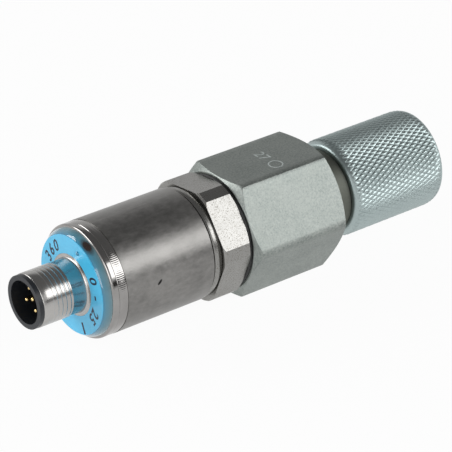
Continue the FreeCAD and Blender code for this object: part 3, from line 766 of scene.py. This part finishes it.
def front_ring():
    """The ring's outline, turned, with the pulses' ripples pressed into the welded band."""
    ring_low, ring_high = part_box("end_ring")
    radius = ring_high.z
    band_start = tube_low.x - WELD_BAND
    spigot_end = tube_low.x + SPIGOT_LENGTH
    face_end = ring_low.x + RING_FACE
    outline = [(spigot_end, RING_BAND_BORE), (face_end, RING_BAND_BORE),
               (face_end, RING_INNER_RADIUS), (ring_low.x, RING_INNER_RADIUS)]
    for degrees in range(90, -15, -15):
        angle = math.radians(degrees)
        outline.append((ring_low.x + RING_EDGE * (1 - math.sin(angle)),
                        radius - RING_EDGE * (1 - math.cos(angle))))
    outline += [(band_start - GROOVE_HALF, radius), (band_start, radius - GROOVE_DEPTH)]
    for step in range(WELD_STEPS + 1):
        share = step / WELD_STEPS
        x = band_start + GROOVE_HALF + share * (WELD_BAND - GROOVE_HALF)
        outline.append((x, radius - WELD_CROWN * (2 * share - 1) ** 2))
    outline += [(tube_low.x, RING_BAND_BORE), (spigot_end, RING_BAND_BORE)]
    ring = turned_piece("front_ring_welded", outline, RIPPLES * RIPPLE_SAMPLES)
    for vertex in ring.data.vertices:
        x, y, z = vertex.co
        around = math.hypot(y, z)
        share = (x - band_start - GROOVE_HALF) / (WELD_BAND - GROOVE_HALF)
        if 0 < share < 1 and around > radius - 2 * WELD_CROWN:
            turn = math.atan2(y, z) / (2 * math.pi) * RIPPLES
            wave = math.sin(2 * math.pi * (turn - RIPPLE_CURVE * (share - 0.5) ** 2))
            fade = math.sin(math.pi * share) ** 0.5
            factor = 1 - RIPPLE_DEPTH * (0.5 - 0.5 * wave) * fade / around
            vertex.co = (x, y * factor, z * factor)
    return ring


ring_polish = steel_finish("ring_polish", (0.36, 0.35, 0.34), 0.12, 4200.0, 0.003 * MM)
ring = front_ring()
smooth(ring, 35)
ring.data.materials.append(ring_polish.material)
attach(ring, "transmitter")
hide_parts("end_ring")

# ---- clear cap -------------------------------------------------------------------------
# A clear moulded cap over the front ring. Its flank widens to the ring, and its colour is a
# painted reflection of the label's blue in front of it, bluest by the label and greyer towards
# the ring. A small dark brown patch beside the key is a painted dark reflection.

DARK_PATCH_ROLL = 23.0
DARK_PATCH_SIZE = (2.1 * MM, 0.85 * MM)     # half its length round the cap and half its width

cap_low, cap_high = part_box("clear_end_cap")
clear_cap = Finish("clear_cap", {"Transmission Weight": 0.3, "IOR": 1.49, "Coat Weight": 1.0,
                                 "Coat Roughness": 0.03})
cap_haze = clear_cap.noise(700.0, 2.0)
cap_x, _, _ = clear_cap.axis_parts()
towards_ring = (cap_x - cap_low.x) / (cap_high.x - cap_low.x) + 0.25 * (cap_haze - 0.5)
# Painted reflection: the label's blue painted into the cap's colour, fading greyer towards the ring.
cap_label_reflection = clear_cap.ramp(towards_ring, [(0.0, (0.05, 0.34, 0.56)), (0.3, (0.10, 0.34, 0.47)),
                                           (0.7, (0.14, 0.33, 0.41)), (1.0, (0.21, 0.37, 0.42))])
# Painted reflection: a small dark brown patch beside the key, painted into the cap's colour.
dark_patch_gap = clear_cap.spot((cap_low.x + cap_high.x) / 2, DARK_PATCH_ROLL, 0.97 * cap_high.z, *DARK_PATCH_SIZE,
                          90.0)
dark_reflection_mask = clear_cap.ramp(dark_patch_gap * 0.5 + 0.2 * (cap_haze - 0.5), [(0.28, 1.0), (0.60, 0.0)])
clear_cap.surface(colour=clear_cap.blend(dark_reflection_mask, cap_label_reflection, (0.035, 0.022, 0.018)),
                  roughness=0.05 + 0.06 * cap_haze)
dress("clear_end_cap", clear_cap)

# ---- range label -----------------------------------------------------------------------
# A printed film disc, sky blue under a gloss, with plain figures round it and one dash. The
# figures are dark ink, a hair above the film, and a clear pip of the cap comes up through it
# where the connector has its key.

TEXT_RADIUS = 8.72 * MM
TEXT_SIZE = 3.45 * MM
TEXT_WEIGHT = 0.07 * MM
TEXT_SLANT = 0.18
INK_HEIGHT = 0.012 * MM
DASH_ROLL = 156.0
DASH_SIZE = (0.62 * MM, 2.6 * MM)     # its width and its length
DASH_RADIUS = 9.6 * MM

label_blue = Finish("label_blue", {"Roughness": 0.32, "Coat Weight": 0.6, "Coat Roughness": 0.08})
label_cast = label_blue.noise(500.0, 3.0)
label_blue.surface(colour=label_blue.blend(label_cast, (0.055, 0.50, 0.82), (0.08, 0.56, 0.88)))
dress("range_label", label_blue)
label_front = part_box("range_label")[0].x

ink = Finish("ink", {"Roughness": 0.4})
ink_wear = ink.noise(1800.0, 2.0)
ink.surface(colour=ink.blend(ink_wear, (0.006, 0.012, 0.035), (0.012, 0.02, 0.05)))


def face_matrix(roll, radius, x):
    """Puts flat artwork on the label's face at a roll, with its top pointing outwards."""
    outwards = outwards_at(roll)
    return axes_matrix(outwards_at(roll + 90), outwards, Vector((-1, 0, 0)),
                       outwards * radius + Vector((x, 0, 0)))


def print_figures(prefix, glyphs, first_roll, last_roll):
    """Glyphs one by one round the label, from one roll to another."""
    for number, glyph in enumerate(glyphs):
        if glyph == " ":
            continue
        roll = first_roll + (last_roll - first_roll) * number / (len(glyphs) - 1)
        piece = figure(prefix + str(number), glyph, TEXT_SIZE, TEXT_WEIGHT, TEXT_SLANT, INK_HEIGHT)
        settle(piece, face_matrix(roll, TEXT_RADIUS, label_front - INK_HEIGHT / 2))
        piece.data.materials.append(ink.material)
        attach(piece, "transmitter")


print_figures("label_figure_right_", "0 - 25", 60, 124)
print_figures("label_figure_left_", "0 - 360", -130, -38)

start_piece()
bpy.ops.mesh.primitive_cube_add(size=1)
bpy.ops.transform.resize(value=(*DASH_SIZE, INK_HEIGHT))
bpy.ops.object.transform_apply(location=True, rotation=True, scale=True)
apply_modifier(bpy.context.object, "BEVEL", width=0.3 * INK_HEIGHT, segments=1)
dash = name_piece("label_dash")
settle(dash, face_matrix(DASH_ROLL, DASH_RADIUS, label_front - INK_HEIGHT / 2))
dash.data.materials.append(ink.material)
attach(dash, "transmitter")

KEY_PIP_ROLL = 16.2
KEY_PIP_PLACE = 8.85 * MM
KEY_PIP_RADIUS = 0.5 * MM
KEY_PIP_HEIGHT = 0.32 * MM

start_piece()
bpy.ops.mesh.primitive_uv_sphere_add(segments=32, ring_count=16, radius=KEY_PIP_RADIUS)
bpy.ops.object.mode_set(mode="EDIT")
bpy.ops.transform.resize(value=(1, 1, KEY_PIP_HEIGHT / KEY_PIP_RADIUS), center_override=(0, 0, 0))
bpy.ops.object.mode_set(mode="OBJECT")
key_pip = name_piece("key_pip")
smooth(key_pip, 60)
settle(key_pip, face_matrix(KEY_PIP_ROLL, KEY_PIP_PLACE, label_front))
key_pip.data.materials.append(clear_cap.material)
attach(key_pip, "transmitter")

# ---- connector shell -------------------------------------------------------------------
# The bright plated shell of the round connector: a smooth front band, five turns of shallow
# thread, a slim neck, and a collar that flares out on the label.

SHELL_BORE = 5.2 * MM
SHELL_THREAD_START = 1.9 * MM
SHELL_THREAD_END = 7.3 * MM
SHELL_THREAD_PITCH = 1.06 * MM
SHELL_THREAD_DEPTH = 0.05 * MM
SHELL_GROOVE_SHARE = 0.66    # of the pitch, the rest is flat crest
SHELL_GROOVE_DEEPEST = 0.25  # where the groove is deepest, from its front to its rear
SHELL_NECK = 5.8 * MM
COLLAR_RADIUS = 6.86 * MM
COLLAR_FLARE = 0.5 * MM
COLLAR_FLARE_STEPS = 10
COLLAR_DEPTH = 1.0 * MM      # how far it goes on behind the label's face
NECK_SWELL = 0.22 * MM       # how much the neck widens before the flare
NECK_TAPER = 0.5 * MM        # from the thread's end down to the neck
SHELL_RADIUS = 6.0 * MM
SHELL_SEAM = 5.0 * MM        # in the bore, where the outline starts and ends
SHELL_BORE_EDGE = 0.1 * MM
SHELL_NOSE = ((0.0, 0.3 * MM), (0.08 * MM, 0.12 * MM), (0.3 * MM, 0.0))   # back, and inwards
SHELL_THREAD_STEPS = 90
SHELL_RUN_IN = 0.8           # of a turn, where the thread comes in and where it fades
SHELL_RUN_OUT = 0.3
SHELL_STEPS = 128
shell_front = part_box("connector_shell")[0].x


def threaded_shell():
    """The shell's outline, turned, then the thread cut round it. It ends inside the cap, and the
    hidden flange behind the ring's web is left out."""
    outline = [(shell_front + SHELL_SEAM, SHELL_BORE), (shell_front + SHELL_BORE_EDGE, SHELL_BORE),
               (shell_front, SHELL_BORE + SHELL_BORE_EDGE)]
    outline += [(shell_front + back, SHELL_RADIUS - inwards) for back, inwards in SHELL_NOSE]
    for step in range(SHELL_THREAD_STEPS + 1):
        share = step / SHELL_THREAD_STEPS
        x = SHELL_THREAD_START + share * (SHELL_THREAD_END - SHELL_THREAD_START)
        outline.append((shell_front + x, SHELL_RADIUS))
    outline.append((shell_front + SHELL_THREAD_END + NECK_TAPER, SHELL_NECK))
    neck_end = SHELL_NECK + NECK_SWELL
    for step in range(COLLAR_FLARE_STEPS + 1):
        share = step / COLLAR_FLARE_STEPS
        rise = 1 - math.sqrt(max(0.0, 1 - share * share))
        x = label_front - COLLAR_FLARE * (1 - share)
        outline.append((x, neck_end + (COLLAR_RADIUS - neck_end) * rise))
    collar_end = label_front + COLLAR_DEPTH
    outline += [(collar_end, COLLAR_RADIUS), (collar_end, SHELL_BORE),
                (shell_front + SHELL_SEAM, SHELL_BORE)]
    shell = turned_piece("connector_shell_threaded", outline, SHELL_STEPS)
    for vertex in shell.data.vertices:
        x, y, z = vertex.co
        radius = math.hypot(y, z)
        along = x - shell_front
        if SHELL_THREAD_START < along < SHELL_THREAD_END and radius > SHELL_NECK:
            ends = min(1.0, (along - SHELL_THREAD_START) / (SHELL_RUN_IN * SHELL_THREAD_PITCH),
                       (SHELL_THREAD_END - along) / (SHELL_RUN_OUT * SHELL_THREAD_PITCH))
            angle = math.atan2(-y, z)
            turn = (along / SHELL_THREAD_PITCH - angle / (2 * math.pi)) % 1.0
            past_deepest = min(1.0, turn / SHELL_GROOVE_SHARE) - SHELL_GROOVE_DEEPEST
            side = SHELL_GROOVE_DEEPEST if past_deepest < 0 else 1 - SHELL_GROOVE_DEEPEST
            cut = 0.5 + 0.5 * math.cos(math.pi * past_deepest / side)
            factor = 1 - ends * cut * SHELL_THREAD_DEPTH / radius
            vertex.co = (x, y * factor, z * factor)
    return shell


shell_nickel = steel_finish("shell_nickel", (0.47, 0.46, 0.445), 0.23, 3000.0, 0.003 * MM)
shell = threaded_shell()
smooth(shell, 40)
shell.data.materials.append(shell_nickel.material)
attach(shell, "transmitter")
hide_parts("connector_shell")

# ---- contact carrier and contacts ------------------------------------------------------
# The black glass-filled insert, with its key rib, holds five gilded contacts. Behind it are
# its rubber seal, the slotted holder and the chip, which are black too.

carrier_black = Finish("carrier_black", {"Metallic": 0.0})
carrier_grain = carrier_black.noise(1500.0, 3.0, 0.6)
carrier_tone = carrier_black.blend(carrier_grain, (0.007, 0.009, 0.012), (0.014, 0.017, 0.022))
carrier_black.surface(colour=carrier_tone,
                      roughness=0.42 + 0.15 * (carrier_grain - 0.5))
carrier_black.bump(carrier_grain, 0.008 * MM)
contact_gold = steel_finish("contact_gold", (0.90, 0.68, 0.32), 0.18, 5000.0, 0.002 * MM)
for node in ("contact_carrier", "board_holder", "amplifier_chip"):
    dress(node, carrier_black)
dress("carrier_seal", black_rubber)
for number in range(1, 6):
    dress("contact_pin_" + str(number), contact_gold)

# ---- studio ----------------------------------------------------------------------------
# A white table under a plain sky, dim overhead, seen through a long lens. The key stands to the
# right of the camera with a black flag under it, the fill to the left behind the object, and a
# third soft box low in front of the connector.

CAMERA_AZIMUTH = -38.16
CAMERA_ELEVATION = 28.66
LENS = 223.0
SENSOR = 36.0
CONNECTOR_FROM_CAMERA = Vector((-41.58, -15.77, 576.6)) * MM    # right, up and along the view
LAMP_DISTANCE = 0.9
KEY_ROLL = 56
FLAG_ROLLS = (76, 88)       # its upper and its lower edge
FLAG_LENGTH = 1.2
FLAG_DISTANCE = 0.95
TABLE_SIZE = 6.0
SKY_LEVELS = ((0.0, 0.66), (0.43, 0.74), (0.50, 0.68), (0.60, 0.40), (0.68, 0.22), (0.76, 0.18),
              (1.0, 0.18))  # from the horizon up
WHITE_SEEN = 0.95           # how much of the table the eye sees as plain white,
WHITE_MIRRORED = 0.75       # and how much of its mirror image in metal and glass

scene = bpy.context.scene
scene.view_settings.view_transform = "Standard"
azimuth = math.radians(CAMERA_AZIMUTH)
elevation = math.radians(CAMERA_ELEVATION)
back = Vector((math.sin(azimuth) * math.cos(elevation), -math.cos(azimuth) * math.cos(elevation),
               math.sin(elevation)))
right = Vector((math.cos(azimuth), math.sin(azimuth), 0))
up = back.cross(right)
middle = (cad_box[0] + cad_box[1]) / 2
connector_face = Vector((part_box("contact_carrier")[0].x, 0, 0))
camera_data = bpy.data.cameras.new("camera")
camera_data.lens = LENS
camera_data.sensor_width = SENSOR
camera_data.clip_start = 0.01
camera = bpy.data.objects.new("camera", camera_data)
bpy.context.collection.objects.link(camera)
camera.location = (connector_face - right * CONNECTOR_FROM_CAMERA.x
                   - up * CONNECTOR_FROM_CAMERA.y + back * CONNECTOR_FROM_CAMERA.z)
camera.rotation_mode = "QUATERNION"
camera.rotation_quaternion = (-back).to_track_quat("-Z", "Y")
scene.camera = camera


def facing_middle(direction, distance):
    """The matrix that sets a flat thing off in a direction, facing the object, with its long
    edges along the axis."""
    outwards = direction.normalized()
    edge = (Vector((1, 0, 0)) - outwards * outwards.x).normalized()
    return axes_matrix(edge, outwards.cross(edge), outwards, middle + outwards * distance)


def soft_box(name, direction, size, radiance):
    """A rectangular soft light that looks at the object."""
    light = bpy.data.lights.new(name, "AREA")
    light.shape = "RECTANGLE"
    light.size, light.size_y = size
    light.energy = radiance * math.pi * size[0] * size[1]
    lamp = bpy.data.objects.new(name, light)
    bpy.context.collection.objects.link(lamp)
    lamp.matrix_world = facing_middle(direction, LAMP_DISTANCE)
    lamp.visible_camera = False


def about_axis(roll):
    """A direction that pieces turned about the axis mirror to the camera. All of them lie on
    one cone, and the roll says where on it."""
    spread = math.hypot(back.y, back.z)
    return outwards_at(roll) * spread - Vector((back.x, 0, 0))


soft_box("key", about_axis(KEY_ROLL), (0.65, 0.44), 2.7)
soft_box("fill", Vector((-0.70, 0.60, 0.41)), (0.62, 0.34), 4.6)
soft_box("front", Vector((-0.93, -0.34, 0.14)), (0.5, 0.5), 2.5)

flag_top, flag_bottom = [about_axis(roll) for roll in FLAG_ROLLS]
flag_height = (flag_top - flag_bottom).length * FLAG_DISTANCE
start_piece()
bpy.ops.mesh.primitive_plane_add(size=1)
flag = name_piece("flag")
bpy.ops.transform.resize(value=(FLAG_LENGTH, flag_height, 1))
bpy.ops.object.transform_apply(location=True, rotation=True, scale=True)
settle(flag, facing_middle(flag_top + flag_bottom, FLAG_DISTANCE))
flag.visible_camera = False
flag.visible_diffuse = False
flag.visible_shadow = False
flag_black = Finish("flag_black", {"Roughness": 1.0, "Base Color": (0.02, 0.02, 0.02, 1.0)})
flag.data.materials.append(flag_black.material)

world = bpy.data.worlds.new("sky")
scene.world = world
world.use_nodes = True
sky = world.node_tree
direction = sky.nodes.new("ShaderNodeTexCoord")
height = sky.nodes.new("ShaderNodeSeparateXYZ")
levels = sky.nodes.new("ShaderNodeValToRGB")
for number, (position, level) in enumerate(SKY_LEVELS):
    if number > 1:
        levels.color_ramp.elements.new(position)
    levels.color_ramp.elements[number].position = position
    levels.color_ramp.elements[number].color = (level, level, level, 1.0)
sky.links.new(direction.outputs["Generated"], height.inputs[0])
sky.links.new(height.outputs["Z"], levels.inputs[0])
sky.links.new(levels.outputs["Color"], sky.nodes["Background"].inputs["Color"])

start_piece()
bpy.ops.mesh.primitive_plane_add(size=TABLE_SIZE, location=(0, 0, cad_box[0].z))
table = name_piece("table")
table_white = Finish("table_white", {"Roughness": 0.9})
table_tone = table_white.blend(table_white.noise(40.0), (0.93, 0.93, 0.93), (0.95, 0.95, 0.95))
table_white.surface(colour=table_tone)
by_camera, by_gloss, by_glass = [
    table_white.add("ShaderNodeLightPath", {}, {}, "Is " + ray + " Ray")
    for ray in ("Camera", "Glossy", "Transmission")]
whiteness = by_camera * WHITE_SEEN + (by_gloss + by_glass) * WHITE_MIRRORED
plain_white = table_white.add("ShaderNodeEmission", {}, {"Strength": 1.0})
shaded = Signal(table_white, table_white.shader.outputs[0])
lifted = table_white.add("ShaderNodeMixShader", {}, {0: whiteness, 1: shaded, 2: plain_white})
table_white.feed(table_white.nodes["Material Output"].inputs["Surface"], lifted)
table.data.materials.append(table_white.material)
